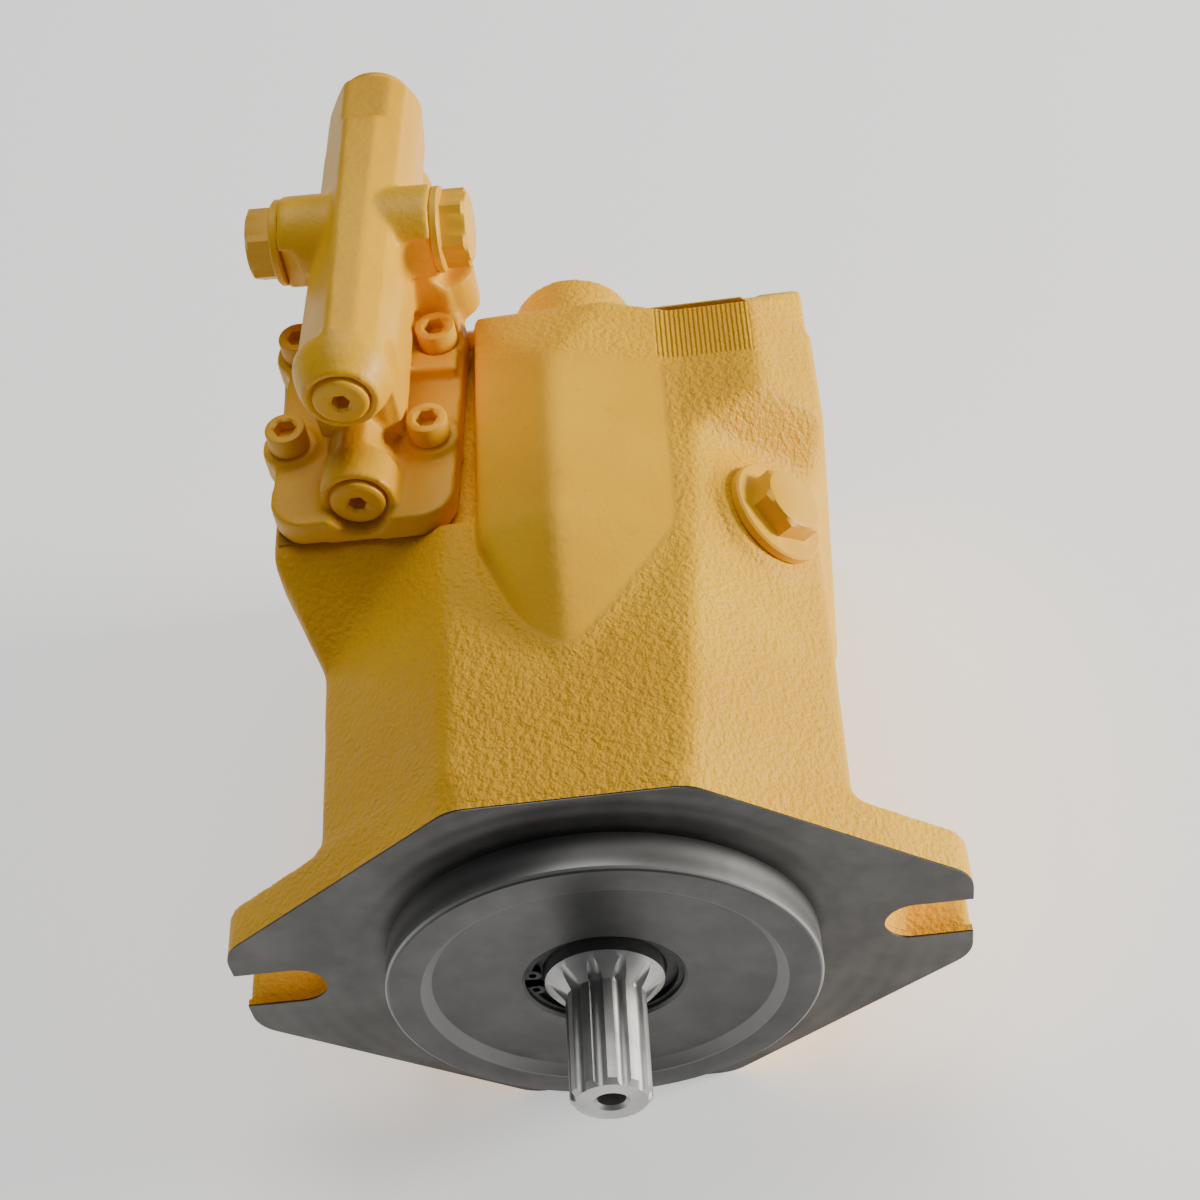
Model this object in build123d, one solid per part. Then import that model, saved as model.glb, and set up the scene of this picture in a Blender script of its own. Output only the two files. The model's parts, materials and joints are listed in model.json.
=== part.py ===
from build123d import *
import os
from math import asin, cos, degrees, radians, sin, sqrt, tan

os.makedirs("parts", exist_ok=True)

# Axial piston pump, 28 cc, swashplate type with pressure and flow regulator.
# Millimetres. The shaft axis is Y, the origin is on it in the plane of the
# mounting face, the shaft end points to -Y and the regulator sits on +Z.

# ---- Driving dimensions ----------------------------------------------------

# Mounting interface (two-bolt flange, 101.6 mm pilot)
pilot_r = 50.8
pilot_length = 9.5
pilot_chamfer = 1.0
recess_r = 40.0
recess_depth = 2.5
flange_thickness = 12.0
flange_half_height = 64.0
flange_top_half_width = 26.0
flange_tip_x = 86.4
flange_tip_half_height = 17.0
flange_corner_r = 10.0
bolt_spacing = 146.0
bolt_slot_width = 14.3

# Rotating group
piston_count = 9
piston_r = 8.0
pitch_r = 29.0
max_tilt = 15.0
group_setback = 78.0
ball_r = 6.2
piston_neck_r = 3.6
piston_length = 58.0
piston_neck_length = 14.0
piston_hollow_r = 4.2
orifice_r = 0.8
slipper_height = 11.0
slipper_foot_r = 9.3
slipper_foot_thickness = 3.1
slipper_body_r = 7.7
slipper_lip = 3.5
block_r = 40.5
block_length = 52.4
block_hub_length = 15.0
spring_room_r = 16.5
block_floor = 4.0
retainer_thickness = 3.5
retainer_rim = 2.2
ball_bush_r = 16.0
push_pin_r = 1.4
push_pin_circle = 14.0
seat_ring_thickness = 2.0
block_spring_wire = 1.5
clip_thickness = 1.6

# Drive shaft
shaft_tip_y = -38.0
spline_end_y = -12.0
spline_r = 9.4
spline_teeth = 11
spline_groove_r = 1.75
run_out_angle = 60.0
seal_journal_r = 14.0
bearing_journal_r = 15.0
shaft_shoulder_step = 3.0
shaft_middle_r = 12.0
hub_spline_root_r = 10.3
hub_spline_tip_r = 11.7
hub_spline_teeth = 12
shaft_rear_r = 10.0
shaft_rear_stub = 18.5
end_hole_r = 3.3
end_hole_depth = 16.0
end_hole_sink = 0.9

# Casing
body_half_height = 64.0
front_top_half_width = 27.0
body_side_right = 61.0
body_side_left = 60.0
body_shoulder_z = 36.0
middle_top_x = 35.0
middle_side_x = 62.5
middle_side_z = 38.0
corner_start_y = 106.0
corner_end_y = 117.0
corner_top_x = 52.0
corner_side_x = 67.0
corner_side_z = 50.0
body_length = 148.0
cavity_r = 50.0
cavity_front_y = 26.0
hump_ridge = (1.0, 75.0)
hump_left = (-18.0, 69.5)
hump_right = (31.0, 64.0)
hump_front_y = 34.0
hump_full_y = 74.0
hump_root = 6.0
hump_facet_point = (1.5, 122.0, 75.0)
hump_facet_normal = (-0.03, 0.22, 0.975)
hump_facet_reach = 60.0
gasket_thickness = 0.5

# Case plug on the upper right
drain_point = (51.0, 86.2, 49.2)
drain_normal = (0.73, 0.0, 0.68)
drain_collar_r = 13.6
drain_collar_height = 2.6
drain_thread_r = 9.5
drain_thread_length = 12.0
drain_head_r = 9.4
drain_head_height = 5.6
drain_head_turn = 10.0
drain_boss_rim = 2.5
drain_hole_depth = 26.0

# Seal and bearings
seal_r = 18.5
seal_length = 7.0
seal_front_y = -4.2
ring_inner_r = 17.2
ring_groove_r = 19.6
ring_ear_r = 2.0
ring_ear_hole_r = 0.9
ring_ear_circle = 16.8
ring_ear_angle = 11.0
ring_gap_angle = 5.5
ring_thickness = 1.6
cone_wall = 4.04
cup_wall = 3.16
front_bearing_y0 = 6.5
front_bearing_y1 = 24.0
roller_mean_r = 4.4
roller_count = 15
roller_axis_angle = 11.8
roller_length = 11.0
needle_r = 1.35
needle_count = 20
needle_length = 14.0
rear_bearing_r = 14.0
rear_bearing_step = 2.5

# Swashplate and control
swash_disc_r = 42.0
swash_disc_thickness = 8.0
swash_bore_r = 17.0
cradle_r = 34.0
cradle_half_height = 26.0
cradle_seat_half_height = 24.0
cradle_shell_half_height = 21.5
cradle_x1 = 37.0
cradle_shell = 2.0
control_x = 6.0
control_z = 51.5
control_piston_r = 6.5
control_guide_wall = 4.0
control_guide_setback = 26.0
block_room = 1.5
control_piston_length = 54.0
bias_piston_length = 40.0
bias_bore_r = 4.8
bias_bore_start = 6.0
bias_spring_wire = 1.1
bias_spring_seat = 3.0
lug_half_width = 6.5
lug_tip_z = 56.5
lug_root_z = 38.0
lug_room = 3.0
lug_side_room = 3.5
lug_room_length = 32.0
stop_screw_r = 4.0
stop_screw_length = 14.0

# Valve plate and end cover
valve_plate_r = 41.0
valve_plate_bore_r = 15.5
valve_plate_thickness = 4.0
kidney_width = 9.0
kidney_half_angle = 62.0
locating_pin_r = 2.0
locating_pin_circle = 36.5
cover_depth = 26.6
cover_top_slope = 0.922
cover_screw_x = 51.0
cover_screw_z = 46.0
low_screw_x = 22.0
low_screw_z = 57.0
cover_screw_r = 4.0
cover_head_r = 6.5
cover_head_height = 8.0
cover_screw_grip = 3.5
cover_screw_depth = 16.0
suction_port_r = 14.0
suction_port_x = -36.0
suction_bolts = (30.2, 58.7)
pressure_port_r = 9.5
pressure_port_x = 34.0
pressure_bolts = (22.2, 47.6)
port_bolt_r = 4.25
port_bolt_depth = 15.0
rear_boss_r = 15.5
rear_boss_length = 12.5
drain_port_r = 8.0
drain_port_y = 100.0

# Regulator
seat_z = 58.0
seat_front_y = 84.0
seat_left_x = -69.5
seat_right_x = -18.5
shelf_depth = 16.0
corbel_length = 28.0
plate_x0 = -66.5
plate_x1 = -21.5
plate_y0 = 85.0
plate_y1 = 157.0
plate_thickness = 8.0
plate_corner_r = 9.0
regulator_x = -44.0
regulator_turn = 3.5
screw_x_spacing = 35.0
screw_y_spacing = 32.0
screw_centre = (-45.5, 126.5)
screw_boss_r = 7.0
screw_boss_rise = 1.5
screw_r = 3.0
screw_gap = 0.3
screw_head_r = 5.0
screw_head_height = 6.0
screw_depth = 11.0
upper_z = 92.0
upper_r = 12.2
upper_y0 = 101.0
upper_y1 = 208.0
roof_rise = 13.0
roof_front_y = 110.0
roof_flat_length = 19.0
roof_flat_rise = 11.0
barrel_end_round = 2.0
lower_z = 68.5
lower_r = 11.2
lower_y0 = 90.5
lower_y1 = 203.0
spool_r = 5.0
spool_length = 54.0
spool_travel = 3.0
spring_chamber_r = 8.0
passage_r = 2.0
passage_offset = 8.0
passage_y = 140.0
cap_thread_length = 10.0
cap_head = 3.5
shoulder_half_width = 20.0
shoulder_y0 = 149.5
shoulder_y1 = 166.0
shoulder_boss_r = 7.5
side_boss_y = 157.0
side_boss_r = 11.3
side_boss_half = 19.0
plug_thread_r = 5.8
front_plug_r = 6.7
front_plug_head = 2.6
front_plug_socket = 4.0
plug_thread_length = 9.0
plug_groove = 0.7
nose_lip = 1.6
nose_taper = 8.0
nose_r = 8.9
lower_nose_r = 9.3
neck_left = 7.6
neck_rise = 9.0
neck_right = 12.0
terrace_y0 = 131.0
terrace_rise = 2.0
pocket_gap = 0.9
screw_pocket_height = 30.0

# Clearances
fit_gap = 0.02
running_gap = 0.08
slide_gap = 0.05
face_gap = 0.1
control_gap = 0.25
loose_gap = 0.4

# ---- Worked-out dimensions -------------------------------------------------

ball_y = body_length - group_setback
tilt_cos = cos(radians(max_tilt))
shaft_shoulder_r = bearing_journal_r + shaft_shoulder_step
cradle_x0 = shaft_shoulder_r + 1.0
roller_circle_r = bearing_journal_r + cone_wall + roller_mean_r
front_bearing_r = roller_circle_r + roller_mean_r + cup_wall
roller_reach = roller_circle_r / sin(radians(roller_axis_angle))
roller_half_angle = degrees(asin(roller_mean_r / roller_reach))
slipper_circle_r = 2 * pitch_r / (1 + tilt_cos)
bore_mismatch = slipper_circle_r - pitch_r
piston_bore_r = piston_r + bore_mismatch + slide_gap
running_face_y = ball_y - slipper_height
cover_front_y = body_length + gasket_thickness
valve_plate_y0 = cover_front_y - valve_plate_thickness
block_y1 = valve_plate_y0 - face_gap
block_y0 = block_y1 - block_length
piston_y0 = ball_y + piston_neck_length
piston_y1 = ball_y + piston_length
cover_rear_y = cover_front_y + cover_depth
shaft_end_y = cover_front_y + shaft_rear_stub
rear_bearing_y0 = cover_front_y + rear_bearing_step
control_guide_y0 = ball_y + control_guide_setback
lug_room_y0 = ball_y - lug_room_length
retainer_y0 = running_face_y + face_gap + slipper_foot_thickness + face_gap
retainer_y1 = retainer_y0 + retainer_thickness
retainer_r = slipper_circle_r + slipper_body_r + loose_gap + retainer_rim
retainer_hole_r = slipper_body_r + loose_gap
ball_bush_y0 = retainer_y0 - 3.0
ball_bush_y1 = ball_y + 8.0
piston_angles = [90.0 + i * 360.0 / piston_count for i in range(piston_count)]

# ---- Shape helpers ---------------------------------------------------------


def cyl_y(radius, y0, y1, x=0.0, z=0.0):
    return Pos(x, (y0 + y1) / 2, z) * Rot(90, 0, 0) * Cylinder(radius, y1 - y0)


def cyl_x(radius, x0, x1, y, z):
    return Pos((x0 + x1) / 2, y, z) * Rot(0, 90, 0) * Cylinder(radius, x1 - x0)


def cyl_z(radius, x, y, z0, z1):
    return Pos(x, y, (z0 + z1) / 2) * Cylinder(radius, z1 - z0)


def block(x0, x1, y0, y1, z0, z1):
    centre = Pos((x0 + x1) / 2, (y0 + y1) / 2, (z0 + z1) / 2)
    return centre * Box(x1 - x0, y1 - y0, z1 - z0)


def tube_y(outer, inner, y0, y1, x=0.0, z=0.0):
    return cyl_y(outer, y0, y1, x, z) - cyl_y(inner, y0 - 1, y1 + 1, x, z)


def turned(profile, x=0.0, z=0.0):
    """Revolve a closed outline of (radius, y) points about an axis along Y."""
    face = make_face(Polyline(*profile, close=True))
    return Pos(x, 0, z) * revolve(face, Axis.Y, 360)


def outline_y(points, y):
    return make_face(Polyline(*[(x, y, z) for x, z in points], close=True))


def prism_y(points, y0, y1):
    return extrude(outline_y(points, y0), amount=y1 - y0, dir=(0, 1, 0))


def taper_y(points0, y0, points1, y1):
    return loft([outline_y(points0, y0), outline_y(points1, y1)], ruled=True)


def hexagon_y(across_flats, y0, y1, x=0.0, z=0.0):
    corner = across_flats / sqrt(3)
    angles = [radians(30 + 60 * i) for i in range(6)]
    return prism_y([(x + corner * cos(a), z + corner * sin(a)) for a in angles], y0, y1)


def along_axis(shape, point, direction):
    """Move a shape built along +Z onto a point, with +Z turned to direction."""
    return Plane(origin=point, z_dir=direction).location * shape


def around_y(shape, angle):
    """Turn a shape built at angle 0 (on +X) to an angle measured to +Z."""
    return Rot(0, -angle, 0) * shape


def polar(radius, angle):
    return radius * cos(radians(angle)), radius * sin(radians(angle))


def kidney(mid_angle, half_angle, radius, width, y0, y1):
    """Curved slot with round ends, cut along Y."""
    ring = tube_y(radius + width / 2, radius - width / 2, y0, y1)
    reach = 3 * radius
    points = [(0.0, 0.0)]
    points += [polar(reach, mid_angle + half_angle * k / 2) for k in (-2, -1, 0, 1, 2)]
    slot = ring & prism_y(points, y0, y1)
    for end in (-1, 1):
        x, z = polar(radius, mid_angle + end * half_angle)
        slot += cyl_y(width / 2, y0, y1, x, z)
    return slot


def coil_spring(coil_r, wire_r, y0, y1, turns, x=0.0, z=0.0):
    """Compression spring along Y, its wire ends kept inside y0 and y1."""
    height = y1 - y0 - 2 * wire_r
    path = Helix(pitch=height / turns, height=height, radius=coil_r)
    section = Plane(origin=path @ 0, z_dir=path % 0) * Circle(wire_r)
    wire = sweep(section, path=path, is_frenet=True)
    return Pos(x, y0 + wire_r, z) * Rot(-90, 0, 0) * wire


def spline_outline(root_r, tip_r, teeth, gap=0.0):
    points = []
    step = 360.0 / teeth
    for i in range(teeth):
        for radius, share in ((root_r, -0.32), (tip_r, -0.17), (tip_r, 0.17), (root_r, 0.32)):
            points.append(polar(radius + gap, (i + share) * step))
    return points


# ---- Casing ----------------------------------------------------------------


def section(top_right, side_right, side_z, top_left, side_left):
    h = body_half_height
    right = [(top_right, h), (side_right, side_z), (side_right, -side_z), (top_right, -h)]
    left = [(-top_left, -h), (-side_left, -side_z), (-side_left, side_z), (-top_left, h)]
    return right + left


def flange_plate():
    h = flange_half_height
    w = flange_top_half_width
    tip = flange_tip_x
    t = flange_tip_half_height
    points = [(w, h), (tip, t), (tip, -t), (w, -h), (-w, -h), (-tip, -t), (-tip, t), (-w, h)]
    plate = prism_y(points, 0.0, flange_thickness)
    corners = plate.edges().filter_by(Axis.Y)
    plate = fillet(corners, flange_corner_r)
    for side in (-1, 1):
        centre = side * bolt_spacing / 2
        plate -= cyl_y(bolt_slot_width / 2, -1, flange_thickness + 1, centre, 0)
        x0, x1 = sorted((centre, side * (tip + 5)))
        half = bolt_slot_width / 2
        plate -= block(x0, x1, -1, flange_thickness + 1, -half, half)
    return plate


def hump():
    """Roof-shaped casting over the control piston."""
    base = body_half_height - hump_root
    (rx, rz), (lx, lz), (qx, qz) = hump_ridge, hump_left, hump_right
    full = [(lx, base), (lx, lz), (rx, rz), (qx, qz), (qx, base)]
    nose_z = body_half_height - 1.5
    nose = [(rx - 3, base), (rx - 3, nose_z), (rx + 1, nose_z + 0.5), (rx + 5, nose_z), (rx + 5, base)]
    shape = prism_y(full, hump_full_y, body_length) + taper_y(nose, hump_front_y, full, hump_full_y)
    facet = Plane(origin=hump_facet_point, z_dir=hump_facet_normal)
    width = 2 * hump_facet_reach
    above = facet.location * Pos(0, 0, hump_facet_reach / 2) * Box(width, width, hump_facet_reach)
    return shape - above


def valve_shelf():
    """Seat of the regulator, carried by a corbel on the left side."""
    base_z = seat_z - shelf_depth
    full = [(seat_left_x, base_z), (seat_left_x, seat_z), (seat_right_x, seat_z), (seat_right_x, base_z)]
    foot_z = body_shoulder_z - 8
    foot = [(-body_side_left + 3, foot_z), (-body_side_left + 3, foot_z + 4),
            (seat_right_x, foot_z + 4), (seat_right_x, foot_z)]
    shelf = prism_y(full, seat_front_y, body_length)
    return shelf + taper_y(foot, seat_front_y - corbel_length, full, seat_front_y)


def casing_outside():
    top = front_top_half_width
    front = section(top, body_side_right, body_shoulder_z, top, body_side_left)
    middle = section(middle_top_x, middle_side_x, middle_side_z, top, body_side_left + 0.5)
    rear = section(corner_top_x, corner_side_x, corner_side_z, corner_top_x - 2, body_side_left + 3)
    shape = taper_y(front, flange_thickness - 4, middle, corner_start_y)
    shape += taper_y(middle, corner_start_y, rear, corner_end_y)
    shape += prism_y(rear, corner_end_y, body_length)
    shape -= block(-90, seat_right_x, seat_front_y, body_length + 1, seat_z, 80)
    shape += valve_shelf() + hump()
    boss_r = drain_collar_r + drain_boss_rim
    boss = Pos(0, 0, -drain_thread_length / 2) * Cylinder(boss_r, drain_thread_length)
    shape += along_axis(boss, drain_point, drain_normal)
    spot_face = Pos(0, 0, drain_collar_r) * Cylinder(drain_collar_r + 0.6, 2 * drain_collar_r)
    shape -= along_axis(spot_face, drain_point, drain_normal)
    return shape + flange_plate()


def pilot_boss():
    lip = pilot_length - pilot_chamfer
    recess_y = -pilot_length + recess_depth
    profile = [
        (0, recess_y), (recess_r, recess_y), (recess_r + recess_depth, -pilot_length),
        (pilot_r - pilot_chamfer, -pilot_length), (pilot_r, -lip), (pilot_r, 1.0), (0, 1.0),
    ]
    return turned(profile)


def control_cylinders():
    """Guides of the control piston (top) and bias piston (bottom)."""
    guide_r = control_piston_r + control_guide_wall
    guides = cyl_y(guide_r, control_guide_y0, body_length, control_x, control_z)
    guides += cyl_y(guide_r, control_guide_y0, body_length, control_x, -control_z)
    return guides - cyl_y(block_r + block_room, 0, body_length + 1)


def cradle_seats():
    """Two saddles on the front wall that carry the cradle bearings."""
    seat_r = cradle_r + cradle_shell + 2 * face_gap
    seat_end_y = ball_y - sqrt(seat_r ** 2 - cradle_seat_half_height ** 2)
    seats = None
    for side in (-1, 1):
        x0, x1 = sorted((side * (cradle_x0 - 1), side * (cradle_x1 + 1)))
        half = cradle_seat_half_height
        lump = block(x0, x1, cavity_front_y - 1, seat_end_y, -half, half)
        lump -= cyl_x(seat_r, x0 - 1, x1 + 1, ball_y, 0)
        seats = lump if seats is None else seats + lump
    return seats


def cover_screw_places():
    corners = [(sx * cover_screw_x, sz * cover_screw_z) for sx in (-1, 1) for sz in (-1, 1)]
    return corners + [(-low_screw_x, -low_screw_z), (low_screw_x + 4, -low_screw_z)]


def regulator_screw_places():
    """Screw axes on the regulator before it is turned on its seat."""
    cx, cy = screw_centre
    half_x = screw_x_spacing / 2
    half_y = screw_y_spacing / 2
    return [(cx + sx * half_x, cy + sy * half_y) for sx in (-1, 1) for sy in (-1, 1)]


def on_seat(shape):
    """Turn a regulator piece about the middle of its screws."""
    cx, cy = screw_centre
    return Pos(cx, cy, 0) * Rot(0, 0, -regulator_turn) * Pos(-cx, -cy, 0) * shape


def regulator_seat_holes():
    holes = cyl_z(passage_r, regulator_x + passage_offset, passage_y, control_z + 1.5, seat_z + 1)
    for x, y in regulator_screw_places():
        holes += cyl_z(screw_r + fit_gap, x, y, seat_z - screw_depth, seat_z + 1)
    return on_seat(holes)


def housing():
    shape = casing_outside() + pilot_boss()
    shape -= cyl_y(cavity_r, cavity_front_y, body_length + 1)
    for side in (-1, 1):
        z0, z1 = sorted((side * cradle_r, side * (lug_tip_z + lug_room)))
        half = lug_half_width + lug_side_room
        shape -= block(control_x - half, control_x + half, lug_room_y0, control_guide_y0 + 1, z0, z1)
    shape += cradle_seats() + control_cylinders()
    shape -= cyl_y(seal_r, -pilot_length, seal_front_y + seal_length)
    shape -= cyl_y(ring_groove_r, seal_front_y - ring_thickness - 0.1, seal_front_y)
    shape -= cyl_y(shaft_shoulder_r - 1, 0, front_bearing_y0 + 1)
    shape -= cyl_y(front_bearing_r + fit_gap, front_bearing_y0, cavity_front_y + 1)
    for z in (control_z, -control_z):
        shape -= cyl_y(control_piston_r + slide_gap, control_guide_y0 - 1, body_length + 1, control_x, z)
    for x, z in cover_screw_places():
        shape -= cyl_y(cover_screw_r + fit_gap, body_length - cover_screw_depth, body_length + 1, x, z)
    shape -= regulator_seat_holes()
    shape -= on_seat(shoulder_boss(shoulder_boss_r + 1, seat_z))
    drain_hole = Pos(0, 0, 1 - drain_hole_depth / 2) * Cylinder(drain_thread_r + fit_gap, drain_hole_depth)
    shape -= along_axis(drain_hole, drain_point, drain_normal)
    shape -= cyl_x(drain_port_r, -80, -cavity_r + 3, drain_port_y, 0)
    shape -= cyl_x(passage_r - 0.2, regulator_x + passage_offset, control_x, passage_y, control_z + 2.5)
    return shape


def cover_outline():
    top_right = corner_top_x - 2
    return section(top_right, corner_side_x - 1, corner_side_z - 1, top_right - 2, body_side_left + 2)


def end_cover():
    y0 = cover_front_y
    y1 = cover_rear_y
    shape = prism_y(cover_outline(), y0, y1)
    top = body_half_height - 1
    drop = top - cover_top_slope * cover_depth
    wedge = Polyline((-90, y0, top), (-90, y1 + 1, drop), (-90, y1 + 1, 99), (-90, y0, 99), close=True)
    shape -= extrude(make_face(wedge), amount=180, dir=(1, 0, 0))
    shape -= regulator_room()
    shape += cyl_y(rear_boss_r, y0, y0 + rear_boss_length, control_x, control_z - 0.5)
    shape -= cyl_y(stop_screw_r + fit_gap, y0 - 1, y1 + 1, control_x, control_z)
    shape -= cyl_y(control_piston_r, y0 - 1, y0 + bias_spring_seat, control_x, -control_z)
    shape -= cyl_y(rear_bearing_r + fit_gap, y0 - 1, shaft_end_y + 1.5)
    for mid in (0.0, 180.0):
        shape -= kidney(mid, kidney_half_angle - 14, pitch_r, kidney_width, y0 - 1, y0 + 9)
    for x, port_r, bolts in ((suction_port_x, suction_port_r, suction_bolts),
                             (pressure_port_x, pressure_port_r, pressure_bolts)):
        shape -= cyl_y(port_r, y0 + 5, y1 + 1, x)
        for sx in (-1, 1):
            for sz in (-1, 1):
                bx = x + sx * bolts[0] / 2
                bz = sz * bolts[1] / 2
                shape -= cyl_y(port_bolt_r, y1 - port_bolt_depth, y1 + 1, bx, bz)
    seat_y = y0 + cover_screw_grip
    for x, z in cover_screw_places():
        shape -= cyl_y(cover_screw_r + 0.5, y0 - 1, seat_y + 1, x, z)
        shape -= cyl_y(cover_head_r + 0.8, seat_y, y1 + 1, x, z)
    return shape


def regulator_room():
    """Space behind the seat that the regulator plate reaches into."""
    y0 = plate_y0 + screw_depth
    room = block(seat_left_x - 20, seat_right_x, y0, lower_y1 + 2, seat_z - 0.5, seat_z + 40)
    return room + on_seat(shoulder_boss(shoulder_boss_r + 1, seat_z - 0.5))


def cover_gasket():
    sheet = prism_y(cover_outline(), body_length, cover_front_y) - regulator_room()
    sheet -= cyl_y(cavity_r, body_length - 1, cover_front_y + 1)
    for z in (control_z, -control_z):
        sheet -= cyl_y(control_piston_r + 1, body_length - 1, cover_front_y + 1, control_x, z)
    for x, z in cover_screw_places():
        sheet -= cyl_y(cover_screw_r + 0.5, body_length - 1, cover_front_y + 1, x, z)
    return sheet


def socket_screw_y(x, z, seat_y, head_r, head_height, thread_r, length, socket_flats):
    screw = cyl_y(head_r, seat_y, seat_y + head_height, x, z)
    screw += cyl_y(thread_r, seat_y - length, seat_y, x, z)
    return screw - hexagon_y(socket_flats, seat_y + head_height / 2, seat_y + head_height + 1, x, z)


def cover_screws():
    seat_y = cover_front_y + cover_screw_grip
    length = cover_screw_depth + gasket_thickness + cover_screw_grip - 2
    return [socket_screw_y(x, z, seat_y, cover_head_r, cover_head_height, cover_screw_r, length, 6.0)
            for x, z in cover_screw_places()]


# ---- Shaft, seal and bearings ----------------------------------------------


def drive_shaft():
    tip = shaft_tip_y
    shoulder_y = front_bearing_y1
    profile = [
        (0, tip), (spline_r - 1.2, tip), (spline_r, tip + 1.2), (spline_r, spline_end_y),
        (seal_journal_r, seal_front_y - 3), (seal_journal_r, front_bearing_y0 - 0.5),
        (bearing_journal_r, front_bearing_y0), (bearing_journal_r, shoulder_y),
        (shaft_shoulder_r, shoulder_y), (shaft_shoulder_r, shoulder_y + 4),
        (shaft_middle_r, shoulder_y + 6), (shaft_middle_r, ball_bush_y0 - 3),
        (hub_spline_root_r, ball_bush_y0 - 1.5), (hub_spline_root_r, block_y0 + block_hub_length),
        (shaft_rear_r, block_y0 + block_hub_length + 1), (shaft_rear_r, shaft_end_y - 1),
        (shaft_rear_r - 1, shaft_end_y), (0, shaft_end_y),
    ]
    shaft = turned(profile)
    teeth = spline_outline(hub_spline_root_r, hub_spline_tip_r, hub_spline_teeth)
    shaft += prism_y(teeth, ball_bush_y0 - 1.5, block_y0 + block_hub_length)
    groove_x = spline_r + 0.45
    groove = cyl_y(spline_groove_r, tip - 1, spline_end_y, groove_x)
    groove += Pos(groove_x, spline_end_y, 0) * Sphere(spline_groove_r)
    run_out = Pos(0, 0, seal_journal_r / 2) * Cylinder(spline_groove_r, seal_journal_r)
    way_out = (sin(radians(run_out_angle)), cos(radians(run_out_angle)), 0)
    groove += along_axis(run_out, (groove_x, spline_end_y, 0), way_out)
    for i in range(spline_teeth):
        shaft -= around_y(groove, i * 360.0 / spline_teeth)
    shaft -= cyl_y(end_hole_r, tip - 1, tip + end_hole_depth)
    sink_y = tip + end_hole_sink
    sink_r = end_hole_r + 1 + end_hole_sink
    shaft -= turned([(0, tip - 1), (sink_r, tip - 1), (end_hole_r, sink_y), (0, sink_y)])
    return shaft


def shaft_seal():
    y0 = seal_front_y + fit_gap
    y1 = y0 + seal_length - 2 * fit_gap
    lip_r = seal_journal_r + running_gap
    profile = [
        (seal_r - fit_gap, y0), (seal_r - fit_gap, y1), (seal_r - 1.5, y1), (seal_r - 1.5, y0 + 1.6),
        (lip_r + 1.6, y0 + 1.6), (lip_r + 2.2, y1 - 0.6), (lip_r + 0.6, y1 - 0.6), (lip_r, y0 + 3.6),
        (lip_r, y0 + 0.6), (lip_r + 0.6, y0),
    ]
    return turned(profile)


def seal_retaining_ring():
    y1 = seal_front_y
    y0 = y1 - ring_thickness
    ring = tube_y(ring_groove_r - 0.2, ring_inner_r, y0, y1)
    ears = [polar(ring_ear_circle, 180 + side * ring_ear_angle) for side in (-1, 1)]
    for x, z in ears:
        ring += cyl_y(ring_ear_r, y0, y1, x, z)
    reach = 2 * ring_groove_r
    gap_angles = (180 - ring_gap_angle, 180, 180 + ring_gap_angle)
    ring -= prism_y([(0, 0)] + [polar(reach, angle) for angle in gap_angles], y0 - 1, y1 + 1)
    for x, z in ears:
        ring -= cyl_y(ring_ear_hole_r, y0 - 1, y1 + 1, x, z)
    return ring


def bearing_line():
    """Distance from the cone apex to the roller middle, and the apex on Y."""
    middle_y = (front_bearing_y0 + front_bearing_y1) / 2
    apex_y = middle_y - roller_reach * cos(radians(roller_axis_angle))
    return roller_reach, apex_y


def race_radius(y, angle):
    reach, apex_y = bearing_line()
    return (y - apex_y) * tan(radians(angle))


def front_bearing_cup():
    y0 = front_bearing_y0
    y1 = front_bearing_y1 - 2
    angle = roller_axis_angle + roller_half_angle
    r0 = race_radius(y0, angle) + running_gap
    r1 = race_radius(y1, angle) + running_gap
    return turned([(r0, y0), (front_bearing_r, y0), (front_bearing_r, y1), (r1, y1)])


def front_bearing_cone():
    y0 = front_bearing_y0 + 1
    y1 = front_bearing_y1
    angle = roller_axis_angle - roller_half_angle
    r0 = race_radius(y0, angle) - running_gap
    r1 = race_radius(y1, angle) - running_gap
    bore = bearing_journal_r + fit_gap
    return turned([(bore, y0), (r0, y0), (r1, y1), (bore, y1)])


def front_bearing_rollers():
    reach, apex_y = bearing_line()
    start = reach - roller_length / 2
    end = reach + roller_length / 2
    slope = tan(radians(roller_half_angle))
    roller = turned([(0, start), (start * slope, start), (end * slope, end), (0, end)])
    roller = Pos(0, apex_y, 0) * Rot(0, 0, -roller_axis_angle) * roller
    return [around_y(roller, i * 360.0 / roller_count) for i in range(roller_count)]


def needle_circle_r():
    return shaft_rear_r + running_gap / 2 + needle_r


def rear_bearing_cup():
    inner = needle_circle_r() + needle_r + running_gap / 2
    return tube_y(rear_bearing_r, inner, rear_bearing_y0, rear_bearing_y0 + needle_length + 2)


def rear_bearing_needles():
    radius = needle_circle_r()
    y0 = rear_bearing_y0 + 1
    needle = cyl_y(needle_r - running_gap / 4, y0, y0 + needle_length, radius)
    return [around_y(needle, i * 360.0 / needle_count) for i in range(needle_count)]


# ---- Rotating group --------------------------------------------------------


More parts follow.
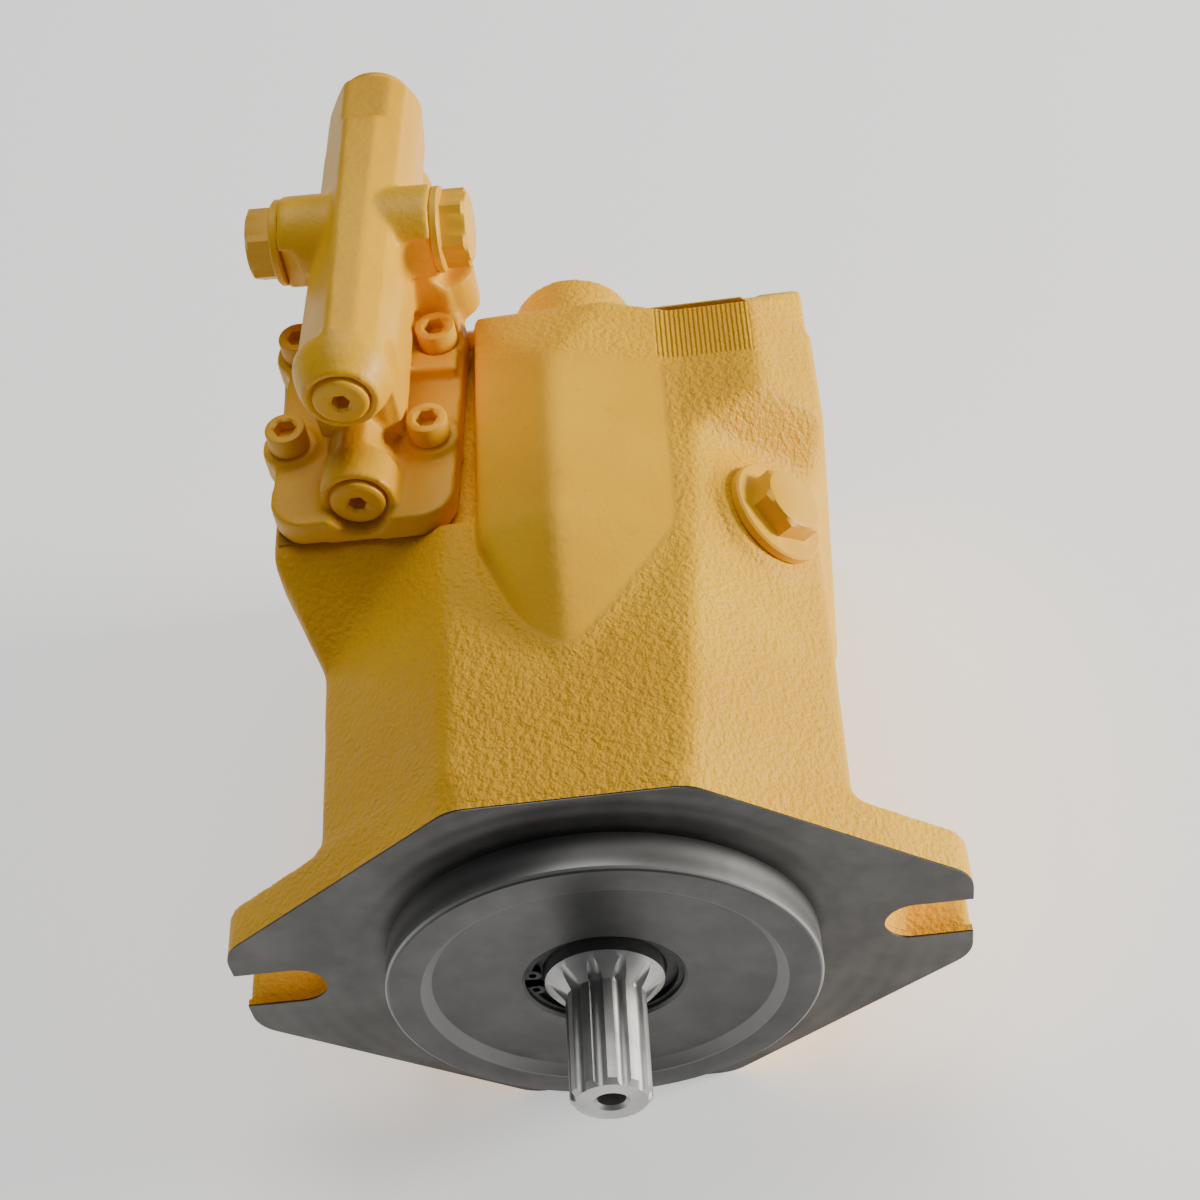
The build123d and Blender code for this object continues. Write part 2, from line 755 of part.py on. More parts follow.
def cylinder_block():
    y0 = block_y0
    y1 = block_y1
    hub_end = y0 + block_hub_length
    shape = cyl_y(block_r, y0, y1)
    shape = chamfer(shape.edges().filter_by(GeomType.CIRCLE), 1.0)
    shape -= cyl_y(spring_room_r, hub_end, y1 + 1)
    bore = spline_outline(hub_spline_root_r, hub_spline_tip_r, hub_spline_teeth, slide_gap)
    shape -= prism_y(bore, y0 - 1, hub_end + 1)
    for angle in piston_angles:
        x, z = polar(pitch_r, angle)
        shape -= cyl_y(piston_bore_r, y0 - 1, y1 - block_floor, x, z)
        shape -= kidney(angle, 9.0, pitch_r, kidney_width - 2, y1 - block_floor - 1, y1 + 1)
    for x, z in push_pin_places():
        shape -= cyl_y(push_pin_r + slide_gap, y0 - 1, hub_end + 1, x, z)
    return shape


def push_pin_places():
    return [polar(push_pin_circle, 30 + 120 * i) for i in range(3)]


def push_pins():
    y1 = block_y0 + block_hub_length + fit_gap
    return [cyl_y(push_pin_r, ball_bush_y1 + fit_gap, y1, x, z) for x, z in push_pin_places()]


def spring_seat_y():
    return block_y0 + block_hub_length + 2 * fit_gap


def spring_seat():
    y0 = spring_seat_y()
    return tube_y(spring_room_r - slide_gap, shaft_rear_r + 1.2, y0, y0 + seat_ring_thickness)


def block_clip_y():
    return block_y1 - 4.0


def block_spring():
    y0 = spring_seat_y() + seat_ring_thickness + fit_gap
    coil_r = (spring_room_r + shaft_rear_r) / 2 + 0.2
    return coil_spring(coil_r, block_spring_wire, y0, block_clip_y() - fit_gap, 5)


def block_clip():
    y0 = block_clip_y()
    return tube_y(spring_room_r - fit_gap, shaft_rear_r + 1.2, y0, y0 + clip_thickness)


def piston():
    """Piston for a ball on the shaft axis, turned along Y."""
    y = ball_y
    neck_y = y + sqrt(ball_r ** 2 - piston_neck_r ** 2) - 0.3
    body = turned([
        (0, neck_y), (piston_neck_r, neck_y), (piston_neck_r, piston_y0 - 5),
        (piston_r - 0.8, piston_y0 - 1), (piston_r, piston_y0), (piston_r, piston_y1 - 0.8),
        (piston_r - 0.8, piston_y1), (0, piston_y1),
    ])
    body += Pos(0, y, 0) * Sphere(ball_r)
    body -= cyl_y(piston_hollow_r, piston_y0 + 8, piston_y1 + 1)
    return body - cyl_y(orifice_r, y - ball_r - 1, piston_y0 + 9)


def slipper():
    """Slipper shoe for a ball on the shaft axis."""
    y0 = running_face_y + face_gap
    foot_y = y0 + slipper_foot_thickness
    top_y = ball_y + slipper_lip
    shoe = turned([
        (0, y0), (slipper_foot_r - 0.5, y0), (slipper_foot_r, y0 + 0.5), (slipper_foot_r, foot_y),
        (slipper_body_r, foot_y), (slipper_body_r, ball_y + 1), (slipper_body_r - 1.2, top_y), (0, top_y),
    ])
    shoe -= Pos(0, ball_y, 0) * Sphere(ball_r + running_gap)
    shoe -= cyl_y(orifice_r, y0 - 1, ball_y)
    return shoe - cyl_y(slipper_foot_r - 3.5, y0 - 1, y0 + 0.5)


def retainer_ball():
    """Half-round bush that pushes the retainer plate onto the slippers."""
    shape = Pos(0, ball_y, 0) * Sphere(ball_bush_r)
    shape &= cyl_y(ball_bush_r + 1, ball_bush_y0, ball_bush_y1)
    bore = spline_outline(hub_spline_root_r, hub_spline_tip_r, hub_spline_teeth, slide_gap)
    return shape - prism_y(bore, ball_bush_y0 - 1, ball_bush_y1 + 1)


def retainer_plate():
    plate = cyl_y(retainer_r, retainer_y0, retainer_y1)
    plate -= Pos(0, ball_y, 0) * Sphere(ball_bush_r + running_gap)
    for angle in piston_angles:
        x, z = polar(slipper_circle_r, angle)
        plate -= cyl_y(retainer_hole_r, retainer_y0 - 1, retainer_y1 + 1, x, z)
    return plate


# ---- Swashplate and control ------------------------------------------------


def swash_lug(side):
    z0, z1 = sorted((side * lug_root_z, side * lug_tip_z))
    return block(control_x - lug_half_width, control_x + lug_half_width, running_face_y - 6, ball_y, z0, z1)


def swashplate():
    y1 = running_face_y
    y0 = y1 - swash_disc_thickness
    shape = cyl_y(swash_disc_r, y0, y1)
    for side in (-1, 1):
        x0, x1 = sorted((side * cradle_x0, side * cradle_x1))
        h = cradle_half_height
        rail = cyl_x(cradle_r, x0, x1, ball_y, 0) & block(x0, x1, ball_y - cradle_r - 1, y0 + 1, -h, h)
        shape += rail
    for side in (-1, 1):
        lug = swash_lug(side)
        clear = cyl_y(retainer_r + 1, y1, ball_y + 5)
        shape += lug - clear
    shape -= cyl_y(swash_bore_r, y0 - 30, y1 + 1)
    half = shaft_middle_r + 10
    return shape - block(-cradle_x0 + 3, cradle_x0 - 3, y0 - 30, y1 - 5, -half, half)


def cradle_bearing(side):
    x0, x1 = sorted((side * cradle_x0, side * cradle_x1))
    inner = cradle_r + face_gap
    h = cradle_shell_half_height
    shell = cyl_x(inner + cradle_shell, x0, x1, ball_y, 0) - cyl_x(inner, x0 - 1, x1 + 1, ball_y, 0)
    return shell & block(x0, x1, ball_y - 2 * cradle_r, ball_y - cradle_r / 2, -h, h)


def control_nose_y():
    return ball_y + control_gap + control_piston_r


def control_piston():
    y0 = control_nose_y()
    y1 = y0 + control_piston_length
    rod = cyl_y(control_piston_r, y0, y1, control_x, control_z)
    rod += Pos(control_x, y0, control_z) * Sphere(control_piston_r)
    for k in range(3):
        y = y1 - 5 - 5 * k
        rod -= tube_y(control_piston_r + 1, control_piston_r - 0.5, y, y + 1, control_x, control_z)
    return rod


def bias_piston():
    y0 = control_nose_y()
    y1 = y0 + bias_piston_length
    rod = cyl_y(control_piston_r, y0, y1, control_x, -control_z)
    rod += Pos(control_x, y0, -control_z) * Sphere(control_piston_r)
    return rod - cyl_y(bias_bore_r, y0 + bias_bore_start, y1 + 1, control_x, -control_z)


def bias_spring():
    y0 = control_nose_y() + bias_bore_start + fit_gap
    y1 = cover_front_y + bias_spring_seat - fit_gap
    wire = bias_spring_wire
    return coil_spring(bias_bore_r - wire - 0.2, wire, y0, y1, 14, control_x, -control_z)


def stroke_screw():
    """Grub screw that limits how far the control piston moves back."""
    y0 = cover_front_y + 0.5
    y1 = y0 + stop_screw_length
    screw = cyl_y(stop_screw_r, y0, y1 - 3, control_x, control_z)
    return screw - hexagon_y(4.0, y1 - 8, y1 + 1, control_x, control_z)


# ---- Valve plate -----------------------------------------------------------


def valve_plate():
    y0 = valve_plate_y0
    y1 = cover_front_y
    plate = tube_y(valve_plate_r, valve_plate_bore_r, y0, y1)
    for mid in (0.0, 180.0):
        plate -= kidney(mid, kidney_half_angle, pitch_r, kidney_width - 2, y0 - 1, y1 + 1)
    return plate - cyl_y(locating_pin_r + fit_gap, y1 - 3, y1 + 1, 0, -locating_pin_circle)


def locating_pin():
    y = cover_front_y
    return cyl_y(locating_pin_r, y - 3 + fit_gap, y - fit_gap, 0, -locating_pin_circle)


# ---- Regulator -------------------------------------------------------------


def regulator_plate():
    floor = seat_z + gasket_thickness
    plate = block(plate_x0, plate_x1, plate_y0, plate_y1, floor, seat_z + plate_thickness)
    plate = fillet(plate.edges().filter_by(Axis.Z), plate_corner_r)
    return plate


def regulator_gasket():
    sheet = block(plate_x0 + 1, plate_x1 - 1, plate_y0 + 1, plate_y1, seat_z, seat_z + gasket_thickness)
    for x, y in regulator_screw_places():
        sheet -= cyl_z(screw_r + screw_gap, x, y, seat_z - 1, seat_z + 2)
    sheet -= cyl_z(passage_r + 1, regulator_x + passage_offset, passage_y, seat_z - 1, seat_z + 2)
    return on_seat(sheet) & block(2 * seat_left_x, 0, 0, body_length - screw_gap, seat_z - 1, seat_z + 2)


def regulator_roof():
    """Ridged casting over the pressure spool, steep on its left and round on its right."""
    x = regulator_x
    z = upper_z
    ridge_z = z + roof_rise
    bottom = z - upper_r
    left_front = [(x - 10.5, lower_z), (x - 11.8, z), (x - 2, ridge_z)]
    left_rear = [(x - 11, bottom), (x - 12.5, z), (x - 5, ridge_z)]
    right_front = [(x + 4.5, z + 12), (x + 9.5, z + 8.2), (x + 12.2, z + 1), (x + 10.5, lower_z)]
    right_rear = [(x + 3.5, z + 12.4), (x + 9.5, z + 8.6), (x + 12.4, z + 1), (x + 11, bottom)]
    return taper_y(left_front + right_front, roof_front_y, left_rear + right_rear, upper_y1 - 3)


def roof_cut():
    """What the steep left face and the flat at the rear take off the barrel."""
    x = regulator_x
    far = x - 3 * upper_r
    top = upper_z + 2 * roof_rise
    front = [(x - 2, upper_z + roof_rise), (x - 11.8, upper_z), (far, upper_z), (far, top), (x - 2, top)]
    rear = [(x - 5, upper_z + roof_rise), (x - 12.5, upper_z), (far, upper_z), (far, top), (x - 5, top)]
    side = taper_y(front, roof_front_y, rear, upper_y1 + 1)
    flat_y = upper_y1 - roof_flat_length
    return side + block(far, x + 3 * upper_r, flat_y, upper_y1 + 1, upper_z + roof_flat_rise, top)


def shoulder_boss(radius, z0):
    """Upright boss at the rear right of the plate."""
    x = regulator_x + shoulder_half_width - 1.5
    return cyl_z(radius, x, shoulder_y1 - 8, z0, lower_z + 10)


def regulator_shoulder(floor):
    """Right-hand shoulder that ties the two barrels to the plate."""
    x = regulator_x
    edge = x + shoulder_half_width
    outline = [(x, floor), (x, upper_z), (x + 11, upper_z - 3), (edge, lower_z + 9), (edge, floor)]
    shoulder = prism_y(outline, shoulder_y0, shoulder_y1)
    return shoulder + shoulder_boss(shoulder_boss_r, seat_z + plate_thickness)


def barrel_bores(y0, y1, z):
    """Spool bore, front plug thread and rear spring chamber of one barrel."""
    bores = cyl_y(spool_r + slide_gap, y0 - 1, y1 + 1, regulator_x, z)
    bores += cyl_y(plug_thread_r + fit_gap, y0 - 1, y0 + plug_thread_length, regulator_x, z)
    bores += cyl_y(front_plug_r + plug_groove, y0 - nose_lip - 1, y0, regulator_x, z)
    return bores + cyl_y(spring_chamber_r, spool_end(y0), y1 + 1, regulator_x, z)


def upper_barrel():
    """Barrel of the pressure spool with its tapered nose."""
    nose_y = upper_y0 - nose_lip
    profile = [
        (0, nose_y), (nose_r, nose_y), (upper_r - 1.3, nose_y + nose_taper / 2),
        (upper_r, nose_y + nose_taper),
        (upper_r, upper_y1 - barrel_end_round), (upper_r - barrel_end_round, upper_y1), (0, upper_y1),
    ]
    return turned(profile, regulator_x, upper_z)


def regulator_neck(floor):
    """Narrow ridge over the flow spool, between the screw pockets."""
    x = regulator_x
    top = lower_z + neck_rise
    side_z = lower_z + 3
    outline = [(x - neck_left, floor), (x - neck_left, side_z), (x - 3, top), (x + 2.5, top),
               (x + neck_right, floor)]
    neck = prism_y(outline, lower_y0 + 2, shoulder_y0 + 1)
    neck += block(x - neck_left, x + neck_left, upper_y0 + nose_taper, shoulder_y0 + 1, lower_z, upper_z)
    return neck + cyl_y(lower_nose_r, lower_y0 - nose_lip, lower_y0 + plug_thread_length, x, lower_z)


def regulator_terrace(floor):
    """Raised step of the plate that carries the rear right screw."""
    right = plate_x1 - 1
    top = seat_z + plate_thickness + screw_boss_rise + terrace_rise
    return block(regulator_x, right, terrace_y0, shoulder_y0 + 1, floor, top)


def regulator_body():
    x = regulator_x
    floor = seat_z + gasket_thickness
    boss_top = seat_z + plate_thickness + screw_boss_rise
    shape = upper_barrel() + regulator_roof() - roof_cut()
    shape += regulator_plate() + regulator_terrace(floor) + regulator_neck(floor)
    shape += cyl_y(lower_r, shoulder_y0, lower_y1, x, lower_z)
    shape += block(x - lower_r, x + lower_r, shoulder_y0, plate_y1 - 2, floor, lower_z)
    shape += block(x - 9, x + 9, shoulder_y0, lower_y1 - 4, lower_z, upper_z)
    shape += regulator_shoulder(floor)
    shape += cyl_x(side_boss_r, x - side_boss_half, x + side_boss_half, side_boss_y, upper_z)
    for px, py in regulator_screw_places():
        shape += cyl_z(screw_boss_r, px, py, floor, boss_top)
    shape -= block(plate_x0, plate_x1, plate_y0 - 1, lower_y1 + 1, seat_z - 9, floor)
    shape -= cyl_y(front_plug_r + plug_groove, plate_y0 - 1, lower_y0, x, lower_z)
    shape -= barrel_bores(upper_y0, upper_y1, upper_z) + barrel_bores(lower_y0, lower_y1, lower_z)
    for side in (-1, 1):
        x0, x1 = sorted((x + side * (upper_r - 3), x + side * (side_boss_half + 1)))
        shape -= cyl_x(plug_thread_r + fit_gap, x0, x1, side_boss_y, upper_z)
    for px, py in regulator_screw_places():
        shape -= cyl_z(screw_r + 0.4, px, py, seat_z, boss_top + 1)
        shape -= cyl_z(screw_head_r + pocket_gap, px, py, boss_top, boss_top + screw_pocket_height)
    return shape - cyl_z(passage_r, x + passage_offset, passage_y, seat_z, lower_z)


def spool_end(barrel_y0):
    return barrel_y0 + plug_thread_length + spool_travel + spool_length


def regulator_screws():
    seat = seat_z + plate_thickness + screw_boss_rise
    screws = []
    for x, y in regulator_screw_places():
        screw = cyl_z(screw_head_r, x, y, seat, seat + screw_head_height)
        screw += cyl_z(screw_r, x, y, seat_z - screw_depth + 1, seat)
        socket = extrude(Plane.XY.offset(seat + 2.5) * RegularPolygon(2.9, 6), amount=9)
        screws.append(screw - Pos(x, y, 0) * socket)
    return screws


def spool(barrel_y0, z):
    """Valve spool with three lands, resting against the front plug."""
    y0 = barrel_y0 + plug_thread_length + fit_gap
    y1 = y0 + spool_length
    body = cyl_y(spool_r, y0, y1, regulator_x, z)
    for start, width in ((8, 9), (25, 10), (43, 6)):
        body -= tube_y(spool_r + 1, spool_r - 1.8, y0 + start, y0 + start + width, regulator_x, z)
    return body


def spool_spring(barrel_y0, barrel_y1, z):
    y0 = barrel_y0 + plug_thread_length + spool_length + 2 * fit_gap
    wire = 1.0
    return coil_spring(spool_r - wire, wire, y0, barrel_y1 - cap_thread_length - fit_gap, 8, regulator_x, z)


def spring_cap(barrel_y1, z):
    """Plug with a hexagon socket that closes a spring chamber from the rear."""
    x = regulator_x
    r = spring_chamber_r + 1.6
    y2 = barrel_y1 + cap_head
    cap = cyl_y(spring_chamber_r - fit_gap, barrel_y1 - cap_thread_length, barrel_y1, x, z)
    cap += turned([(0, barrel_y1), (r, barrel_y1), (r, y2 - 1.2), (r - 1.2, y2), (0, y2)], x, z)
    return cap - hexagon_y(6.0, barrel_y1 - 2, y2 + 1, x, z)


def front_plug(barrel_y0, z):
    """Round plug with a hexagon socket, screwed into the front of a barrel."""
    x = regulator_x
    y0 = barrel_y0 - front_plug_head
    y1 = barrel_y0 + plug_thread_length - fit_gap
    plug = cyl_y(plug_thread_r, barrel_y0, y1, x, z)
    r = front_plug_r
    plug += turned([(0, y0), (r - 1.2, y0), (r, y0 + 1), (r, barrel_y0), (0, barrel_y0)], x, z)
    return plug - hexagon_y(front_plug_socket, y0 - 1, barrel_y0 + 2.5, x, z)


def side_plug(side):
    """Hexagon plug with a collar on the side boss, built along +Z then turned."""
    thread = Pos(0, 0, -3.6) * Cylinder(plug_thread_r, 7.2)
    collar = Pos(0, 0, 1.1) * Cylinder(side_boss_r - 0.6, 2.2)
    head = extrude(Plane.XY.offset(2.2) * RegularPolygon(9.8, 6), amount=6.5)
    plug = thread + collar + head
    place = (regulator_x + side * side_boss_half, side_boss_y, upper_z)
    return along_axis(plug, place, (side, 0, 0))


def drain_plug():
    thread = Pos(0, 0, -drain_thread_length / 2) * Cylinder(drain_thread_r, drain_thread_length)
    collar = Pos(0, 0, drain_collar_height / 2) * Cylinder(drain_collar_r, drain_collar_height)
    outline = RegularPolygon(drain_head_r, 6, rotation=drain_head_turn)
    head = extrude(Plane.XY.offset(drain_collar_height) * outline, amount=drain_head_height)
    return along_axis(thread + collar + head, drain_point, drain_normal)


# ---- Write every node ------------------------------------------------------


def write(node, shape):
    solids = shape if isinstance(shape, list) else shape.solids()
    group = solids[0] if len(solids) == 1 else Compound(children=list(solids))
    export_step(group, "parts/" + node + ".step")


def main():
    write("housing", housing())
    write("end_cover", end_cover())
    write("cover_gasket", cover_gasket())
    write("cover_screws", cover_screws())
    write("drive_shaft", drive_shaft())
    write("shaft_seal", shaft_seal())
    write("seal_retaining_ring", seal_retaining_ring())
    write("front_bearing_cup", front_bearing_cup())
    write("front_bearing_cone", front_bearing_cone())
    write("front_bearing_rollers", front_bearing_rollers())
    write("rear_bearing_cup", rear_bearing_cup())
    write("rear_bearing_needles", rear_bearing_needles())
    write("cylinder_block", cylinder_block())
    write("push_pins", push_pins())
    write("spring_seat", spring_seat())
    write("block_spring", block_spring())
    write("block_clip", block_clip())
    write("retainer_ball", retainer_ball())
    write("retainer_plate", retainer_plate())
    for i, angle in enumerate(piston_angles, 1):
        x, z = polar(slipper_circle_r, angle)
        write("piston_" + str(i), Pos(x, 0, z) * piston())
        write("slipper_" + str(i), Pos(x, 0, z) * slipper())
    write("swashplate", swashplate())
    write("cradle_bearing_left", cradle_bearing(-1))
    write("cradle_bearing_right", cradle_bearing(1))
    write("valve_plate", valve_plate())
    write("locating_pin", locating_pin())
    write("control_piston", control_piston())
    write("bias_piston", bias_piston())
    write("bias_spring", bias_spring())
    write("stroke_screw", stroke_screw())
    write("regulator_body", on_seat(regulator_body()))
    write("regulator_gasket", regulator_gasket())
    write("regulator_screws", [on_seat(screw) for screw in regulator_screws()])
    write("pressure_spool", on_seat(spool(upper_y0, upper_z)))
    write("flow_spool", on_seat(spool(lower_y0, lower_z)))
    write("pressure_spring", on_seat(spool_spring(upper_y0, upper_y1, upper_z)))
    write("flow_spring", on_seat(spool_spring(lower_y0, lower_y1, lower_z)))
    write("pressure_cap", on_seat(spring_cap(upper_y1, upper_z)))
    write("flow_cap", on_seat(spring_cap(lower_y1, lower_z)))
    write("front_plug_upper", on_seat(front_plug(upper_y0, upper_z)))
    write("front_plug_lower", on_seat(front_plug(lower_y0, lower_z)))
    write("side_plug_left", on_seat(side_plug(-1)))
    write("side_plug_right", on_seat(side_plug(1)))
    write("drain_plug", drain_plug())


main()
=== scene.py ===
import json
from math import atan2, cos, pi, radians, sin

import bmesh
import bpy
from mathutils import Matrix, Vector


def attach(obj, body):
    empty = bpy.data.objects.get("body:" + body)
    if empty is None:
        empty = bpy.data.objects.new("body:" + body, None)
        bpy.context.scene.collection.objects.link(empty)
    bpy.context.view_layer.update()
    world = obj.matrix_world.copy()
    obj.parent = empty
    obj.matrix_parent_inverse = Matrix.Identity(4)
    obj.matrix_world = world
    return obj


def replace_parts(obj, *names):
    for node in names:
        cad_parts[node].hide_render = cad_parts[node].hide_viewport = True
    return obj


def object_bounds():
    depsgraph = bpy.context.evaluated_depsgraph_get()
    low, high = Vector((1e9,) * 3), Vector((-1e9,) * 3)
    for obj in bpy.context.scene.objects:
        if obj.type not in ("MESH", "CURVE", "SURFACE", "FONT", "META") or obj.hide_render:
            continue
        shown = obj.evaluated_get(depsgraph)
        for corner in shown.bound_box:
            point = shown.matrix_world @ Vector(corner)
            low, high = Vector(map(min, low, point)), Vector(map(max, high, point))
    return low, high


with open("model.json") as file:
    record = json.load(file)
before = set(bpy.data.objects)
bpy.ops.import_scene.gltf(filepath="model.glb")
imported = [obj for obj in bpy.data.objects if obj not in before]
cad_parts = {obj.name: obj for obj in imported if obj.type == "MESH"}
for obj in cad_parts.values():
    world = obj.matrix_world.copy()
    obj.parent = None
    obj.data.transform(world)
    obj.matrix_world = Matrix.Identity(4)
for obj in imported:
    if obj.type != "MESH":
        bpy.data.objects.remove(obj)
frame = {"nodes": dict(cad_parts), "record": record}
cad_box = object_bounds()
nodes = frame["nodes"]

MM = 0.001


# ---- Shader expressions -----------------------------------------------------


class Value:
    """A socket whose operators add Math nodes to its material."""

    def __init__(self, paint, socket):
        self.paint = paint
        self.socket = socket

    def apply(self, operation, *others):
        inputs = {0: self}
        inputs.update({i + 1: other for i, other in enumerate(others)})
        return self.paint.add("ShaderNodeMath", {"operation": operation}, inputs)

    def __add__(self, other):
        return self.apply("ADD", other)

    def __radd__(self, other):
        return self.apply("ADD", other)

    def __mul__(self, other):
        return self.apply("MULTIPLY", other)

    def __rmul__(self, other):
        return self.apply("MULTIPLY", other)

    def __sub__(self, other):
        return self.apply("SUBTRACT", other)

    def __rsub__(self, other):
        return (self * -1) + other

    def smooth(self, low, high):
        """0 below low, 1 above high, smooth between them."""
        inputs = {"Value": self, "From Min": low, "From Max": high}
        return self.paint.add("ShaderNodeMapRange", {"interpolation_type": "SMOOTHSTEP"}, inputs)


class Paint:
    """One material and the nodes behind its surface."""

    def __init__(self, name):
        self.material = bpy.data.materials.new(name)
        self.material.use_nodes = True
        self.tree = self.material.node_tree
        self.shader = self.tree.nodes["Principled BSDF"]
        self.place = self.add("ShaderNodeTexCoord", output="Object")

    def add(self, kind, settings=None, inputs=None, output=0):
        """Add a node: settings first, then the value or link of each socket."""
        node = self.tree.nodes.new(kind)
        for key, value in (settings or {}).items():
            setattr(node, key, value)
        for key, value in (inputs or {}).items():
            self.feed(node.inputs[key], value)
        return Value(self, node.outputs[output])

    def feed(self, socket, value):
        if isinstance(value, Value):
            self.tree.links.new(value.socket, socket)
        else:
            socket.default_value = value

    def split(self):
        """The x, y and z of the place on the object, in metres."""
        kind = "ShaderNodeSeparateXYZ"
        return [self.add(kind, inputs={0: self.place}, output=axis) for axis in ("X", "Y", "Z")]

    def noise(self, size, detail=3.0, roughness=0.55, vector=None):
        """Noise from 0 to 1 with features of about this size in metres."""
        inputs = {"Vector": vector or self.place, "Scale": 1 / size, "Detail": detail, "Roughness": roughness}
        return self.add("ShaderNodeTexNoise", inputs=inputs)

    def stretched(self, scale):
        return self.add("ShaderNodeMapping", inputs={"Vector": self.place, "Scale": scale})

    def blend(self, factor, first, second):
        """Mix two colours; the sockets of a colour mix are 0, 6 and 7, and its output is 2."""
        inputs = {0: factor, 6: first, 7: second}
        return self.add("ShaderNodeMix", {"data_type": "RGBA"}, inputs, output=2)

    def bump(self, height, depth, strength=1.0, below=None):
        inputs = {"Height": height, "Distance": depth, "Strength": strength}
        if below is not None:
            inputs["Normal"] = below
        return self.add("ShaderNodeBump", inputs=inputs)

    def surface(self, **sockets):
        for name, value in sockets.items():
            self.feed(self.shader.inputs[name.replace("_", " ").title().replace("Ior", "IOR")], value)
        return self.material


# ---- Materials --------------------------------------------------------------

YELLOW = (0.78, 0.395, 0.010, 1)
YELLOW_LIGHT = (0.86, 0.465, 0.013, 1)
YELLOW_WORN = (0.60, 0.28, 0.010, 1)
DUST = (0.42, 0.21, 0.02, 1)

# Zones of the housing: the smooth hump, and the ribbed pad near the rear edge
HUMP_LOW_Z = 64.3 * MM
HUMP_HIGH_Z = 65.2 * MM
HUMP_END_Y = 124 * MM
PAD_START_Y = 130 * MM
PAD_END_Y = 147.5 * MM
PAD_LEFT_X = 27 * MM
PAD_RIGHT_X = 52 * MM
PAD_LOW_Z = 60 * MM
PAD_RIB_PITCH = 1.2 * MM

BARE_STEEL = (0.080, 0.078, 0.075, 1)
BARE_STEEL_LIGHT = (0.115, 0.112, 0.108, 1)


def turning_marks(paint, pitch):
    """Fine circular tool marks about the shaft axis, 0 to 1."""
    inputs = {"Vector": paint.place, "Scale": 1 / (pitch * 20), "Distortion": 0.4, "Detail": 1.0}
    return paint.add("ShaderNodeTexWave", {"wave_type": "RINGS", "rings_direction": "Y"}, inputs)


def enamel_color(paint, fine=1.0):
    """Yellow enamel that varies a little in shade, with dust in the grain."""
    cloud = paint.noise(45 * MM, 4.0).smooth(0.35, 0.68)
    base = paint.blend(cloud, YELLOW, YELLOW_LIGHT)
    wear = paint.noise(7 * MM, 5.0, 0.65).smooth(0.58, 0.80) * 0.35
    base = paint.blend(wear, base, YELLOW_WORN)
    specks = paint.noise(1.1 * MM, 2.0).smooth(0.62, 0.78) * (0.30 * fine)
    return paint.blend(specks, base, DUST)


def cast_enamel(name, grain, grain_depth):
    """Enamel over a cast surface with pits of this size and depth."""
    paint = Paint(name)
    pits = paint.noise(grain, 2.5, 0.5)
    lumps = paint.noise(grain * 5, 2.0)
    height = pits * 0.75 + lumps * 0.6
    waves = paint.bump(paint.noise(22 * MM, 2.0), 1.2 * MM, 0.35)
    relief = paint.bump(height, grain_depth, 0.9, waves)
    gloss = paint.noise(9 * MM, 3.0) * 0.14 + 0.40
    return paint.surface(base_color=enamel_color(paint), roughness=gloss, normal=relief,
                         specular_ior_level=0.3, coat_weight=0.05, coat_roughness=0.3)


def housing_enamel():
    """Coarse casting under enamel; bare machined steel on the mounting side."""
    paint = Paint("housing_enamel")
    x, y, z = paint.split()
    bare = 1 - y.smooth(0.25 * MM, 0.55 * MM)
    smooth_hump = z.smooth(HUMP_LOW_Z, HUMP_HIGH_Z) * (1 - y.smooth(HUMP_END_Y, PAD_START_Y))
    grain = paint.noise(1.35 * MM, 2.0, 0.5)
    coarse = paint.noise(6 * MM, 2.0)
    rough = (1 - smooth_hump * 0.86) * (1 - bare)
    height = (grain * 0.85 + coarse * 0.35) * rough
    pad = pad_mask(x, y, z)
    rib_inputs = {"Vector": paint.place, "Scale": 1 / (PAD_RIB_PITCH * 10) * pi, "Distortion": 1.5,
                  "Detail": 2.0, "Detail Scale": 6.0}
    ribs = paint.add("ShaderNodeTexWave", {"wave_type": "BANDS", "bands_direction": "X"}, rib_inputs)
    height = height * (1 - pad) + ribs * pad * 0.9
    tool = turning_marks(paint, 0.8 * MM) * bare * 0.10
    waves = paint.bump(paint.noise(30 * MM, 2.0) * (1 - bare), 1.6 * MM, 0.35)
    relief = paint.bump(height + tool, 0.8 * MM, 1.0, waves)
    stain = paint.noise(14 * MM, 4.0).smooth(0.3, 0.75)
    steel = paint.blend(stain, BARE_STEEL, BARE_STEEL_LIGHT)
    rough_steel = paint.noise(5 * MM, 4.0) * 0.15 + 0.36
    rough_paint = paint.noise(9 * MM, 3.0) * 0.14 + 0.46
    color = paint.blend(bare, enamel_color(paint), steel)
    gloss = rough_paint * (1 - bare) + rough_steel * bare
    return paint.surface(base_color=color, roughness=gloss, metallic=bare * 0.9, normal=relief,
                         specular_ior_level=0.22)


def pad_mask(x, y, z):
    """The ribbed cast strip on top, near the rear edge."""
    along = y.smooth(PAD_START_Y - MM, PAD_START_Y) * (1 - y.smooth(PAD_END_Y - 1.5 * MM, PAD_END_Y))
    across = x.smooth(PAD_LEFT_X, PAD_LEFT_X + 1.5 * MM) * (1 - x.smooth(PAD_RIGHT_X - 1.5 * MM, PAD_RIGHT_X))
    return along * across * z.smooth(PAD_LOW_Z, PAD_LOW_Z + 2 * MM)


